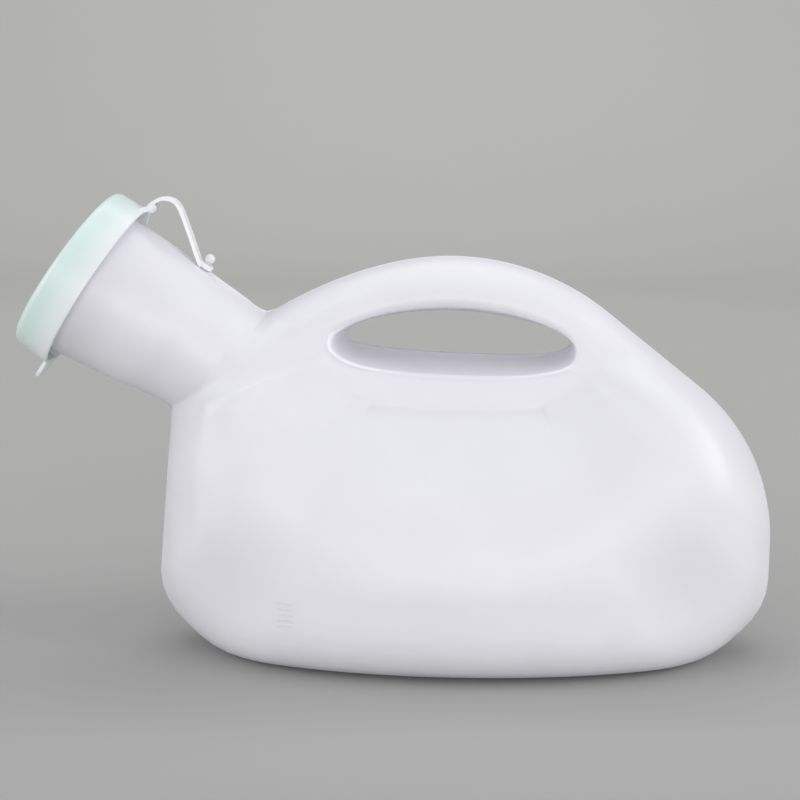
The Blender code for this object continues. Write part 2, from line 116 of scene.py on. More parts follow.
def turned(name, profile, centre, axis, sides):  # profile: (distance from the axis, distance along it)
    across = (sideways if abs(axis.dot(sideways)) < 0.5 else Vector((1.0, 0.0, 0.0))).cross(axis).normalized()
    side = axis.cross(across)
    points, faces, rings = [], [], []
    for radius, along in profile:
        if radius == 0.0:
            rings.append([len(points)] * sides)
            points.append(centre + axis * along)
            continue
        rings.append([len(points) + step for step in range(sides)])
        for step in range(sides):
            angle = 2.0 * math.pi * step / sides
            spoke = across * math.cos(angle) + side * math.sin(angle)
            points.append(centre + axis * along + spoke * radius)
    pairs = list(zip(rings, rings[1:]))
    if profile[0][0] > 0.0:
        pairs.append((rings[-1], rings[0]))
    for lower, upper in pairs:
        for step in range(sides):
            after = (step + 1) % sides
            corners = [lower[step], lower[after], upper[after], upper[step]]
            faces.append([corner for place, corner in enumerate(corners) if corner not in corners[:place]])
    return meshFrom(name, points, faces)


def flat(point):  # side-view (x, z) as a point of the middle plane
    return Vector((point[0], 0.0, point[1]))


def throughKnots(knots, share):  # straight runs through (share, value) pairs
    for (start, first), (end, second) in zip(knots, knots[1:]):
        if share <= end:
            return first + (second - first) * (share - start) / (end - start)
    return knots[-1][1]


def shares(count):  # even shares of a whole, the last one is 1
    return [step / count for step in range(1, count + 1)]


# Shared places of the bottle's mouth, cap and strap, metres

mouth = {"valley": (-0.0673, 0.1164), "throat": (-0.1008, 0.0845), "collarTop": (-0.1108, 0.1478),
         "collarLow": (-0.1416, 0.1039), "tilt": math.radians(35.0), "rootHalf": 0.0238, "flow": 0.030,
         "lipStep": 0.0025, "lipHeight": 0.0107, "lipSoft": 0.0003, "lipEase": 0.0002, "draw": 0.0008}
cap = {"clearance": 0.0005, "seat": 0.0004, "draft": 0.0007, "wall": 0.0010, "plate": 0.0014, "crown": 0.0010,
       "edgeRound": 0.0026, "soft": 0.0003, "stepIn": 0.00015, "stepUp": 0.0004, "bevel": 0.0002,
       "slant": 0.0016, "bury": 0.6, "setback": 0.0003, "sides": 144,
       "tabLength": 0.0062, "tabWidth": 0.0140, "tabThick": 0.0012, "tabCorner": 0.6,
       "armWidth": 0.0010, "lugRadius": 0.0011, "lugStart": 75.0, "lugSweep": 205.0, "barRadius": 0.0006,
       "earRoot": 0.0024}
strap = {"width": 0.0054, "thick": 0.0010, "eyeGap": 0.0003, "eyeWall": 0.0007,
         "crest": (0.0041, 0.0030), "bend": (0.0087, 0.0010), "fall": (0.0122, -0.0078),  # from the bar
         "buttonRadius": 0.0028, "buttonGap": 0.0003, "buttonThick": 0.0017, "buttonSoft": 0.0002,
         "landing": 0.75, "trim": 0.7, "pathSteps": 30,
         "ribPitch": 0.0012, "ribHeight": 0.00016, "railWidth": 0.0009, "railHeight": 0.00022}
stud = {"fromValley": 0.0268, "radius": 0.0010, "ball": 0.0017, "height": 0.0039, "bury": 0.6,
        "flare": (1.8, 1.5, 1.1), "narrowAt": 0.6}  # flare of the foot in radii

valley, throat = flat(mouth["valley"]), flat(mouth["throat"])
collarTop, collarLow = flat(mouth["collarTop"]), flat(mouth["collarLow"])
collarCentre = (collarTop + collarLow) / 2.0
collarRadius = (collarTop - collarLow).length / 2.0
capAxis = Vector((-math.cos(mouth["tilt"]), 0.0, math.sin(mouth["tilt"])))
capUp = Vector((math.sin(mouth["tilt"]), 0.0, math.cos(mouth["tilt"])))
lipRadius = collarRadius + mouth["lipStep"]
skirtInner = lipRadius + cap["clearance"]
skirtOuter = skirtInner + cap["draft"] + cap["wall"]
capFlip = next(joint for joint in frame["joints"] if joint["name"] == "cap_flip")
barCentre = Vector(capFlip["pos_m"])
barReach = (barCentre - collarCentre).dot(capUp)
barDepth = (barCentre - collarCentre).dot(capAxis)  # negative: below the skirt's edge
neckLine = (collarTop - valley).normalized()
neckNormal = Vector((neckLine.z, 0.0, -neckLine.x))
studFoot = valley + neckLine * stud["fromValley"]


# Materials; the grain is coarsened from the mould's own tenth of a millimetre, so that it shows at this size

bottleLook = {"pale": "#E8E7ED", "deep": "#E0DFE5", "cloudMm": 34.0, "grainMm": 1.1}
capLook = {"pale": "#DDF0EA", "deep": "#D2E8E1", "cloudMm": 22.0, "grainMm": 0.9,
           "lightThroughEdge": {"tone": "#E6EAEB", "start": -0.00056, "end": 0.00764}}  # along the cap, from the skirt; painted light: paler at the skirt's edge where light shines through, partly the white plastic below
strapLook = {"pale": "#F1F1F2", "deep": "#E8E8EA", "cloudMm": 6.0, "grainMm": 0.7}
# paler seam and lip tone: partly the flash's own colour, partly a painted highlight
flashHighlightLook = {"pale": "#F4F4F8", "deep": "#EEEEF3", "cloudMm": 9.0, "grainMm": 0.7}
plastic = {"sheenSpread": 0.05, "grainStrength": 0.10, "grainDepth": 0.00006, "index": 1.54,
           "glowReach": 0.004}  # how far light spreads inside, metres


def mixTones(tree, share, first, second):  # each tone is sRGB hex or a socket
    mix = addNode(tree, "ShaderNodeMix", {"data_type": "RGBA"})
    tree.links.new(share, mix.inputs[0])
    for socket, tone in ((mix.inputs[6], first), (mix.inputs[7], second)):  # the two colour inputs
        if isinstance(tone, str):
            socket.default_value = hexColour(tone)
        else:
            tree.links.new(tone, socket)
    return mix.outputs[2]


def mouldedPlastic(name, look, roughness, subsurface):
    material, tree = newMaterial(name)
    place = addNode(tree, "ShaderNodeTexCoord").outputs["Object"]
    cloud = addNode(tree, "ShaderNodeTexNoise", {"Scale": 1000.0 / look["cloudMm"], "Detail": 2.0},
                    {"Vector": place}).outputs["Fac"]
    tone = mixTones(tree, cloud, look["deep"], look["pale"])
    if "lightThroughEdge" in look:  # painted light: the edge is paler where light shines through the skirt, partly the white plastic below showing through
        edge = collarCentre.dot(capAxis)
        along = addNode(tree, "ShaderNodeVectorMath", {"operation": "DOT_PRODUCT"})
        along.inputs[1].default_value = capAxis
        tree.links.new(place, along.inputs[0])
        reach = {"From Min": edge + look["lightThroughEdge"]["start"], "From Max": edge + look["lightThroughEdge"]["end"]}
        share = addNode(tree, "ShaderNodeMapRange", reach, {"Value": along.outputs["Value"]})
        tone = mixTones(tree, share.outputs["Result"], look["lightThroughEdge"]["tone"], tone)
    grain = addNode(tree, "ShaderNodeTexNoise", {"Scale": 1000.0 / look["grainMm"], "Detail": 3.0},
                    {"Vector": place}).outputs["Fac"]
    spread = plastic["sheenSpread"]
    sheen = addNode(tree, "ShaderNodeMapRange", {"To Min": roughness - spread, "To Max": roughness + spread},
                    {"Value": cloud}).outputs["Result"]
    relief = addNode(tree, "ShaderNodeBump",
                     {"Strength": plastic["grainStrength"], "Distance": plastic["grainDepth"]},
                     {"Height": grain}).outputs["Normal"]
    shader = addNode(tree, "ShaderNodeBsdfPrincipled",
                     {"IOR": plastic["index"], "Subsurface Weight": subsurface,
                      "Subsurface Scale": plastic["glowReach"], "Subsurface Radius": (1.0, 1.0, 1.0)},
                     {"Base Color": tone, "Roughness": sheen, "Normal": relief})
    addNode(tree, "ShaderNodeOutputMaterial", None, {"Surface": shader.outputs["BSDF"]})
    return material


# Blow-moulded high-density polyethylene: milky, faintly lilac, satin from the blasted mould, slightly cloudy
blownPolyethylene = mouldedPlastic("blownPolyethylene", bottleLook, 0.42, 0.25)
# Pinched parting flash of the same plastic: thinner and paler, and a painted highlight, so it reads as a
# bright line along the seam and the slot's lip
flashWithHighlight = mouldedPlastic("flashWithHighlight", flashHighlightLook, 0.36, 0.25)
# Injection-moulded low-density polyethylene tinted mint: softer gloss, a little light goes through
mintPolyethylene = mouldedPlastic("mintPolyethylene", capLook, 0.36, 0.25)
# Injection-moulded white polypropylene: brighter and glossier than the bottle
whitePolypropylene = mouldedPlastic("whitePolypropylene", strapLook, 0.32, 0.15)
print("materials ready")


# Bottle skin: columns of points run from the grip slot to the outline, the base or the neck

bottle = {"front": 0.106, "rear": 0.106, "handleTop": 0.1365, "crestX": -0.005, "crestRadius": 0.086,
          "slope": math.radians(38.5), "rearRadius": 0.0690, "handlePower": 1.85,
          "cornerAlong": 0.0315, "cornerUp": 0.0258, "width": 0.103, "wall": 0.0016,
          "endRound": 0.106, "throatRound": 0.090, "baseRound": 0.0175, "handleRound": 0.018,
          "handleHalf": 0.0180, "valleyHalf": 0.021, "footShare": 0.2, "underShare": 0.3}  # metres
fan = {"valley": 160.0, "throat": 202.0, "frontFoot": 221.0, "baseFront": 240.0, "baseRear": 296.0,
       "rearFoot": 317.0, "rearEnd": 321.0, "crest": 454.0, "valleyAgain": 520.0}  # slot angles, degrees
neckRoot = {"edgePower": 2.5, "fullPower": 1.5, "fullShare": 0.92, "lowPower": 0.7, "highStart": 0.35}
shoulder = {  # by share of the way from the rear end to the crest
    "angle": [(0.0, fan["rearEnd"]), (0.183, 329.0), (0.348, 341.0), (0.515, 357.0), (0.685, 396.0),
              (0.851, 426.0), (1.0, fan["crest"])],
    "edge": [(0.0, 0.100), (0.183, 0.095), (0.348, 0.070), (0.515, 0.042), (0.685, 0.024),
             (1.0, bottle["handleRound"])],
    "tank": [(0.0, 1.0), (0.348, 1.0), (0.515, 0.7), (0.685, 0.2), (0.851, 0.0), (1.0, 0.0)]}
slot = {"x": -0.0021, "z": 0.1086, "length": 0.0776, "rise": 0.0100, "drop": 0.0053,
        "tilt": math.radians(-2.2), "risePower": 1.75, "dropPower": 2.6,
        "lipHeight": 0.00022, "lipWidth": 0.0005, "lipPlace": 0.0011, "roundDepth": 0.6,
        "bandHeight": 0.011, "bandFlare": 0.0025, "shoulderDrop": 0.052, "clear": 0.022, "room": 0.6,
        "flashRows": 4.0, "flashStart": 0.4,
        # by angle round the slot, degrees
        "draft": [(0, 0.0003), (20, 0.0012), (60, 0.0020), (120, 0.0020), (160, 0.0024), (180, 0.0027),
                  (205, 0.0038), (230, 0.0043), (300, 0.0043), (330, 0.0032), (350, 0.0010), (360, 0.0003)],
        "round": [(0, 0.0030), (30, 0.0060), (60, 0.0070), (120, 0.0070), (150, 0.0050), (180, 0.0024),
                  (205, 0.0019), (320, 0.0019), (345, 0.0022), (360, 0.0030)],
        "rim": [(0, 0.0190), (60, 0.0180), (120, 0.0180), (180, 0.0190), (360, 0.0190)],
        "lip": [(0, 0.0), (149, 0.0), (162, 1.0), (226, 1.0), (242, 0.40), (298, 0.40), (314, 0.90),
                (328, 0.70), (341, 0.15), (357, 0.0), (360, 0.0)],
        "spare": [(0, 0.0), (150, 0.0), (166, 1.0), (228, 1.0), (250, 0.0), (360, 0.0)]}
seam = {"half": 0.00045, "height": 0.00032, "slotHeight": 0.0004, "fade": 4.0,
        "nick": (0.082, 0.0905), "nickReach": 0.0008, "nickRise": 2.0}
counts = {"neckAround": 24, "frontColumns": 8, "cornerColumns": 8, "baseColumns": 44, "rearColumns": 4,
          "shoulderColumns": 56, "handleColumns": 24, "neckAlong": 18,
          "wallSteps": 4, "lipSteps": 10, "bandSteps": 6, "sideSteps": 18, "edgeSteps": 6, "flatSteps": 4,
          "evenPasses": 6, "softPasses": 20, "tipPasses": 4, "seamPasses": 4,
          "softRows": 14, "softRings": 6, "bandRows": 4, "tipRows": 8, "spareRows": 2}
tipReach = (0.60, 0.75, 0.88)  # sines of the slot angles that count as near its two ends


def slotPoint(degrees):
    angle = math.radians(degrees)
    above = math.sin(angle) > 0.0
    power = 2.0 / (slot["risePower"] if above else slot["dropPower"])
    height = slot["rise"] if above else slot["drop"]
    reach = slot["length"] / 2.0 * math.copysign(abs(math.cos(angle)) ** power, math.cos(angle))
    rise = height * math.copysign(abs(math.sin(angle)) ** power, math.sin(angle))
    lean, lift = math.cos(slot["tilt"]), math.sin(slot["tilt"])
    return Vector((slot["x"] + reach * lean - rise * lift, 0.0, slot["z"] + reach * lift + rise * lean))


def shoulderPoint(share):  # crest arc, straight slope and rear arc, from the crest (0) to the rear end (1)
    slope, crest, rear = bottle["slope"], bottle["crestRadius"], bottle["rearRadius"]
    slopeX = bottle["crestX"] + crest * math.sin(slope)
    slopeZ = bottle["handleTop"] - crest * (1.0 - math.cos(slope))
    run = (bottle["rear"] - rear * (1.0 - math.sin(slope)) - slopeX) / math.cos(slope)
    travel = share * (crest * slope + run + rear * (math.pi / 2.0 - slope))
    if travel < crest * slope:
        angle = travel / crest
        return flat((bottle["crestX"] + crest * math.sin(angle),
                     bottle["handleTop"] - crest * (1.0 - math.cos(angle))))
    travel -= crest * slope
    if travel < run:
        return flat((slopeX + travel * math.cos(slope), slopeZ - travel * math.sin(slope)))
    angle = slope + (travel - run) / rear
    centreZ = slopeZ - run * math.sin(slope) - rear * math.cos(slope)
    return flat((bottle["rear"] - rear + rear * math.sin(angle), centreZ + rear * math.cos(angle)))


def crestPoint(share):  # handle's top from the valley (0) to the crest (1)
    reach = bottle["crestX"] - mouth["valley"][0]
    drop = (bottle["handleTop"] - mouth["valley"][1]) * (1.0 - share) ** bottle["handlePower"]
    return flat((bottle["crestX"] - reach * (1.0 - share), bottle["handleTop"] - drop))


def cornerPoint(endX, share):  # lower corner from the wall (0) to the base (1)
    angle = share * math.pi / 2.0
    inward = math.copysign(bottle["cornerAlong"], -endX)
    return flat((endX + inward * (1.0 - math.cos(angle)), bottle["cornerUp"] * (1.0 - math.sin(angle))))


def rounding(distance, radius):  # 0 at the edge, 1 from radius inwards
    share = min(max(distance / radius, 0.0), 1.0)
    return math.sqrt(1.0 - (1.0 - share) ** 2)


def swell(distance, column):  # half thickness away from the slot, before the outer edges draw in
    draft, edge, rim = column["draft"], column["round"], column["rim"]
    wallHalf = rim - edge * slot["roundDepth"]
    fromLip = (distance - draft - slot["lipPlace"]) / slot["lipWidth"]
    lip = slot["lipHeight"] * column["lip"] * math.exp(-fromLip ** 2)
    if distance < draft:
        return wallHalf * distance / draft + lip
    below = distance - draft - edge
    if below <= 0.0:
        return wallHalf + (rim - wallHalf) * rounding(distance - draft, edge) + lip
    spread = (column["full"] - bottle["handleHalf"]) / (bottle["width"] / 2.0 - bottle["handleHalf"])
    flare = slot["bandFlare"] * spread
    if below <= slot["bandHeight"]:
        return rim + flare * below / slot["bandHeight"] + lip
    share = min((below - slot["bandHeight"]) / slot["shoulderDrop"], 1.0)
    return rim + flare + (column["full"] - rim - flare) * math.sin(share * math.pi / 2.0)


def layColumns():
    columns = []
    tankHalf, valleyHalf, handleHalf = bottle["width"] / 2.0, bottle["valleyHalf"], bottle["handleHalf"]
    endRound, throatRound, handleRound = bottle["endRound"], bottle["throatRound"], bottle["handleRound"]
    front, rear, foot = -bottle["front"], bottle["rear"], bottle["footShare"]

    def add(angle, end, edge, full=tankHalf, base=0.0, endHalf=0.0, blend=0.0):
        column = {"angle": angle, "end": end, "edge": edge, "full": full, "base": base, "endHalf": endHalf,
                  "blend": blend}  # blend: how far the side flows into the neck
        for name in ("draft", "round", "rim", "lip", "spare"):
            column[name] = throughKnots(slot[name], angle % 360.0)
        columns.append(column)

    def between(start, end, share):  # slot angle within a stretch of columns
        return fan[start] + (fan[end] - fan[start]) * share

    rootCentre, rootReach = (valley + throat) / 2.0, (valley - throat) / 2.0
    for step in range(counts["neckAround"] + 1):
        share = step / counts["neckAround"]
        inside = math.sin(math.pi * share) if 0 < step < counts["neckAround"] else 0.0
        high = max(inside - neckRoot["highStart"], 0.0) / (1.0 - neckRoot["highStart"])
        add(between("valley", "throat", share), rootCentre + rootReach * math.cos(math.pi * share),
            handleRound + (throatRound - handleRound) * share ** neckRoot["edgePower"],
            valleyHalf + (neckRoot["fullShare"] * tankHalf - valleyHalf) * share ** neckRoot["fullPower"],
            0.0, mouth["rootHalf"] * inside, inside ** neckRoot["lowPower"] if share > 0.5 else high)
    for share in shares(counts["frontColumns"]):
        edge = throatRound + (endRound - throatRound) * min(2.0 * share, 1.0)
        add(between("throat", "frontFoot", share), throat.lerp(cornerPoint(front, 0.0), share), edge,
            tankHalf, max(foot * (2.0 * share - 1.0), 0.0))
    for share in shares(counts["cornerColumns"]):
        add(between("frontFoot", "baseFront", share), cornerPoint(front, share), endRound, tankHalf,
            foot + (1.0 - foot) * share)
    first, last = cornerPoint(front, 1.0), cornerPoint(rear, 1.0)
    for share in shares(counts["baseColumns"]):
        add(between("baseFront", "baseRear", share), first.lerp(last, share), endRound, tankHalf, 1.0)
    for share in shares(counts["cornerColumns"]):
        add(between("baseRear", "rearFoot", share), cornerPoint(rear, 1.0 - share), endRound, tankHalf,
            1.0 - (1.0 - foot) * share)
    for share in shares(counts["rearColumns"])[:-1]:
        add(between("rearFoot", "rearEnd", share), cornerPoint(rear, 0.0).lerp(shoulderPoint(1.0), share),
            endRound, tankHalf, foot * (1.0 - 0.5 * share))
    for share in [0.0] + shares(counts["shoulderColumns"]):
        angle, edge, tank = (throughKnots(shoulder[name], share) for name in ("angle", "edge", "tank"))
        add(angle, shoulderPoint(1.0 - share), edge, handleHalf + (tankHalf - handleHalf) * tank,
            max(0.5 * foot - share, 0.0))
    for share in shares(counts["handleColumns"])[:-1]:
        add(between("crest", "valleyAgain", share), crestPoint(1.0 - share), handleRound,
            handleHalf + (valleyHalf - handleHalf) * share)
    return columns


def evenOut(columns, passes):  # soften the jumps between the stretches of columns
    count = len(columns)
    for _ in range(passes):
        for name in ("angle", "edge", "full", "base", "lip", "draft", "round", "rim", "spare", "blend"):
            values = [column[name] for column in columns]
            for place, column in enumerate(columns):
                wrap = 360.0 if name == "angle" else 0.0
                before = values[place - 1] - (wrap if place == 0 else 0.0)
                after = values[(place + 1) % count] + (wrap if place == count - 1 else 0.0)
                column[name] = (before + 2.0 * values[place] + after) / 4.0


def rowDistances(length, draft, edge):  # from the slot's edge to the outline: inner wall, lip, band, side
    scale = min(1.0, slot["room"] * length / (draft + edge + slot["bandHeight"]))
    rim, band = draft + edge * scale, slot["bandHeight"] * scale
    rows = [draft * step / counts["wallSteps"] for step in range(1, counts["wallSteps"])]
    rows += [draft + (rim - draft) * step / counts["lipSteps"] for step in range(counts["lipSteps"])]
    rows += [rim + band * step / counts["bandSteps"] for step in range(counts["bandSteps"])]
    count = counts["sideSteps"] + counts["edgeSteps"] + counts["flatSteps"]
    start = rim + band
    rows += [start + (length - start) * math.sin(math.pi / 2.0 * step / count) for step in range(count)]
    return rows


def baseRow(column, direction, step, start):  # side, rounded edge and flat underside of a base column
    low = column["end"].z
    radius = bottle["baseRound"]
    top = column["start"].z + direction.z * start
    if step < counts["sideSteps"]:
        height = top + (low + radius - top) * step / counts["sideSteps"]
        inset, share = 0.0, 1.0
    elif step < counts["sideSteps"] + counts["edgeSteps"]:
        turn = math.pi / 2.0 * (step - counts["sideSteps"]) / counts["edgeSteps"]
        height = low + radius * (1.0 - math.sin(turn))
        inset, share = radius * (1.0 - math.cos(turn)), 1.0
    else:
        height = low
        share = 1.0 - (step - counts["sideSteps"] - counts["edgeSteps"]) / counts["flatSteps"]
        inset = radius
    distance = (height - column["start"].z) / direction.z
    place = column["start"] + direction * distance
    reach = bottle["rear"] if place.x > 0.0 else bottle["front"]
    half = swell(distance, column) * rounding(reach - abs(place.x), bottle["endRound"])
    return place, max(half - inset, half * bottle["underShare"]) * share


def columnRows(column):
    column["start"] = slotPoint(column["angle"])
    line = column["end"] - column["start"]
    length = line.length
    direction = line / length
    distances = rowDistances(length, column["draft"], column["round"])
    sideStart = len(distances) - counts["sideSteps"] - counts["edgeSteps"] - counts["flatSteps"]
    rows = []
    endHalf, blend = column["endHalf"], column["blend"]
    rimEnd = column["draft"] + column["round"]
    clear = min(slot["clear"], slot["room"] * (length - rimEnd))
    for row, distance in enumerate(distances):
        place = column["start"] + direction * distance
        half = swell(distance, column)
        ease = 1.0 - column["spare"] * (1.0 - min(max((distance - rimEnd) / clear, 0.0), 1.0))
        left = 1.0 - (1.0 - min((length - distance) / column["edge"], 1.0)) * ease
        blunt = math.sqrt(endHalf ** 2 + (half ** 2 - endHalf ** 2) * rounding(left, 1.0) ** 2)
        near = 1.0 - (1.0 - min((length - distance) / mouth["flow"], 1.0)) * ease
        flowing = endHalf + (half - endHalf) * near ** 2 * (3.0 - 2.0 * near)
        half = blunt + (flowing - blunt) * blend
        if column["base"] > 0.0 and row >= sideStart:
            lowPlace, lowHalf = baseRow(column, direction, row - sideStart, distances[sideStart])
            place = place.lerp(lowPlace, column["base"])
            half += (lowHalf - half) * column["base"]
        rows.append(Vector((place.x, -half, place.z)))
    flash = Vector((column["start"].x, 0.0, column["start"].z)) - direction * seam["slotHeight"]
    foot = column["start"] - sideways * seam["half"]
    rows = [flash, foot] + rows
    if endHalf > 0.0:
        return rows + [column["end"] - sideways * endHalf]
    nick = math.exp(-((column["end"] - flat(seam["nick"])).length / seam["nickReach"]) ** 2)
    rise = seam["height"] * (1.0 - column["base"]) * (1.0 + seam["nickRise"] * nick)
    outward = direction if column["base"] < 1.0 else Vector()
    return rows + [column["end"] - sideways * seam["half"], column["end"] + outward * rise]


def neckRings():  # centre, half diameter up the ring, half width, seam height
    rings = []
    for share in shares(counts["neckAlong"]):
        top, low = valley.lerp(collarTop, share), throat.lerp(collarLow, share)
        half = mouth["rootHalf"] + (collarRadius - mouth["rootHalf"]) * share
        rise = seam["height"] * min(seam["fade"] * (1.0 - share), 1.0)
        rings.append(((top + low) / 2.0, (top - low) / 2.0, half, rise))
    soft, ease, rimRadius = mouth["lipSoft"], mouth["lipEase"], lipRadius - mouth["draw"]
    lip = [(0.12, collarRadius), (0.22, collarRadius + 0.2 * mouth["lipStep"]), (0.32, lipRadius - soft),
           (0.40, lipRadius), (0.78, lipRadius), (0.90, lipRadius - ease), (0.97, rimRadius + soft),
           (1.0, rimRadius)]  # by share of the lip's height
    for share, radius in lip:
        rings.append((collarCentre + capAxis * (mouth["lipHeight"] * share), capUp * radius, radius, 0.0))
    return rings


def buildSkin():
    columns = layColumns()
    evenOut(columns, counts["evenPasses"])
    grid = [columnRows(column) for column in columns]
    shape = bmesh.new()
    made = {}

    def vertex(point, mirrored):
        place = (point.x, -point.y if mirrored else point.y, point.z)
        key = tuple(round(value, 8) + 0.0 for value in place)
        if key not in made:
            made[key] = shape.verts.new(place)
        return made[key]

    def quad(points, mirrored, slotIndex=0):
        corners = [vertex(point, mirrored) for point in (points if mirrored else points[::-1])]
        if len(set(corners)) == 4:
            face = shape.faces.new(corners)
            face.material_index = slotIndex
            face.smooth = True

    last = len(grid[1]) - 1  # row of the seam's foot, or of the neck's root
    rootVerts, sideVerts, seamVerts = set(), set(), set()
    tipVerts = {reach: set() for reach in tipReach}
    lipRow = 1 + counts["wallSteps"] + 2  # past the crown of the lip
    spareRows = counts["spareRows"]
    ringCount = counts["neckAround"]
    rings = [[grid[0][-1]] + [grid[step][last] for step in range(ringCount + 1)] + [grid[ringCount][-1]]]
    for centre, up, half, rise in neckRings():
        ring = []
        for step in range(ringCount + 1):
            turn = math.pi * step / ringCount
            across = half * math.sin(turn) if 0 < step < ringCount else seam["half"]
            ring.append(centre + up * math.cos(turn) - sideways * across)
        upward = up.normalized()
        rings.append([centre + up + upward * rise] + ring + [centre - up - upward * rise])
    for mirrored in (False, True):
        for place, rows in enumerate(grid):
            following = grid[(place + 1) % len(grid)]
            for row in range(min(len(rows), len(following)) - 1):
                onSeam = row == 0 or (row == last and columns[place]["base"] < 0.5)
                strength = (columns[place]["lip"] - slot["flashStart"]) / (1.0 - slot["flashStart"])
                onLip = 0 <= row - lipRow < slot["flashRows"] * strength  # thins out with the lip
                corners = [rows[row], rows[row + 1], following[row + 1], following[row]]
                # seam and lip faces take the paler flash material, a painted highlight along the ridges
                quad(corners, mirrored, int(onSeam or onLip))
        for lower, upper in zip(rings, rings[1:]):
            for step in range(ringCount + 2):
                onSeam = step in (0, ringCount + 1)
                # the neck's seam faces take the paler flash material too, a painted highlight
                quad([lower[step], upper[step], upper[step + 1], lower[step + 1]], mirrored, int(onSeam))
        for step in range(-spareRows, ringCount + spareRows + 1):
            stop = last + 1 if 0 < step < ringCount else last - spareRows
            rootVerts.update(vertex(point, mirrored) for point in grid[step][last - counts["softRows"]:stop])
        for ring in rings[1:1 + counts["softRings"]]:
            rootVerts.update(vertex(point, mirrored) for point in ring[2:-2])
        underRows = counts["edgeSteps"] + counts["flatSteps"]
        sideRow = last - counts["sideSteps"] - underRows + counts["bandRows"]
        for column, rows in zip(columns, grid):  # the sides, clear of the slot's band, the seam and the base
            stop = last - spareRows - (underRows + spareRows if column["base"] > 0.0 else 0)
            sideVerts.update(vertex(rows[row], mirrored) for row in range(sideRow, stop))
        for reach, verts in tipVerts.items():  # the columns near the slot's two ends
            for column, rows in zip(columns, grid):
                if abs(math.sin(math.radians(column["angle"]))) < reach:
                    near = rows[sideRow - counts["tipRows"]:sideRow + counts["tipRows"]]
                    verts.update(vertex(point, mirrored) for point in near)
        for place in (-2, -1, 0, ringCount, ringCount + 1, ringCount + 2):
            seamVerts.update(vertex(point, mirrored) for point in grid[place][last:])
        for ring in rings[:3]:
            seamVerts.update(vertex(point, mirrored) for point in ring[:2] + ring[-2:])
    bmesh.ops.recalc_face_normals(shape, faces=shape.faces[:])

    def soften(verts, inPlane):  # the sides only move across the bottle, so that no rows fold over
        bmesh.ops.smooth_vert(shape, verts=list(verts), factor=0.5, use_axis_x=inPlane, use_axis_y=True,
                              use_axis_z=inPlane)

    for _ in range(counts["softPasses"]):
        soften(rootVerts, True)
        soften(sideVerts - rootVerts, False)
    for verts in tipVerts.values():
        for _ in range(counts["tipPasses"]):
            soften(verts, False)
    for _ in range(counts["seamPasses"]):
        soften(seamVerts, True)
    skin = bpy.data.meshes.new("bottleSkin")
    shape.to_mesh(skin)
    shape.free()
    for point in skin.vertices:
        point.co.z = max(point.co.z, 0.0)
    piece = newPiece("bottleSkin", skin, blownPolyethylene, flashWithHighlight)
    shell = piece.modifiers.new("wall", "SOLIDIFY")
    shell.thickness = bottle["wall"]
    shell.offset = -1.0
    shell.use_quality_normals = True
    finishedMesh(piece)
    return piece


def studProfile():
    radius, sunk = stud["radius"], -bottle["wall"] * stud["bury"]
    wide, middle, narrow = (radius * share for share in stud["flare"])
    profile = [(0.0, sunk), (wide, sunk), (middle, 0.0), (narrow, strap["buttonGap"] * stud["narrowAt"]),
               (radius, strap["buttonGap"])]
    start = math.asin(radius / stud["ball"])
    steps = 14
    for step in range(steps + 1):
        angle = (math.pi - start) * (1.0 - step / steps)
        reach = stud["ball"] * math.sin(angle) if step < steps else 0.0
        profile.append((reach, stud["height"] + stud["ball"] * math.cos(angle)))
    return profile


bottleSkin = buildSkin()
combine(bottleSkin, turned("stud", studProfile(), studFoot, neckNormal, 28))
bottleSkin.name = "bottleSkin"
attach(bottleSkin, "bottle")
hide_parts("bottle_body")
print("bottle skin:", len(bottleSkin.data.polygons), "faces")


# Cap: crowned push-on cap with a pull tab below and an ear for the strap above

def capProfile():
    innerTop = mouth["lipHeight"] + cap["seat"]
    outerTop = innerTop + cap["plate"]
    crown, edge, soft = cap["crown"], cap["edgeRound"], cap["soft"]
    topRadius, skirtEdge = skirtOuter - cap["draft"], skirtInner + cap["draft"]
    profile = [(0.0, innerTop + crown * 0.6), (skirtInner * 0.55, innerTop + crown * 0.45),  # from below
               (skirtInner * 0.9, innerTop), (skirtInner, innerTop), (skirtEdge, soft),
               (skirtEdge + soft, 0.0), (skirtOuter - soft, 0.0), (skirtOuter, soft),  # the skirt's edge
               (skirtOuter, cap["wall"]), (skirtOuter - cap["stepIn"], cap["wall"] + cap["stepUp"]),
               (topRadius, outerTop - edge)]
    for share in shares(10):  # rounded edge
        angle = math.pi / 2.0 * share
        profile.append((topRadius - edge * (1.0 - math.cos(angle)),
                        outerTop - edge * (1.0 - math.sin(angle))))
    for share in (0.85, 0.7, 0.5, 0.3, 0.15, 0.0):  # crowned top
        profile.append((skirtInner * share, outerTop + crown * (1.0 - share ** 2)))
    return profile


def prism(name, lower, upper):  # two equal rims joined by sides
    count = len(lower)
    faces = [list(range(count)), list(range(count, 2 * count))[::-1]]
    for place in range(count):
        after = (place + 1) % count
        faces.append([place, after, count + after, count + place])
    return meshFrom(name, lower + upper, faces)


def tongue(name, root, tip, half, thick, corner, origin, along, normal):  # square root, round free corners
    rim = [(root, -half)]
    steps = 8
    for sign in (-1.0, 1.0):
        for step in range(steps + 1):
            angle = math.pi / 2.0 * (step if sign < 0.0 else steps - step) / steps
            rim.append((tip - corner * (1.0 - math.sin(angle)),
                        sign * (half - corner * (1.0 - math.cos(angle)))))
    rim.append((root, half))
    layers = [[origin + along * reach + sideways * across + normal * height for reach, across in rim]
              for height in (0.0, thick)]
    return prism(name, *layers)


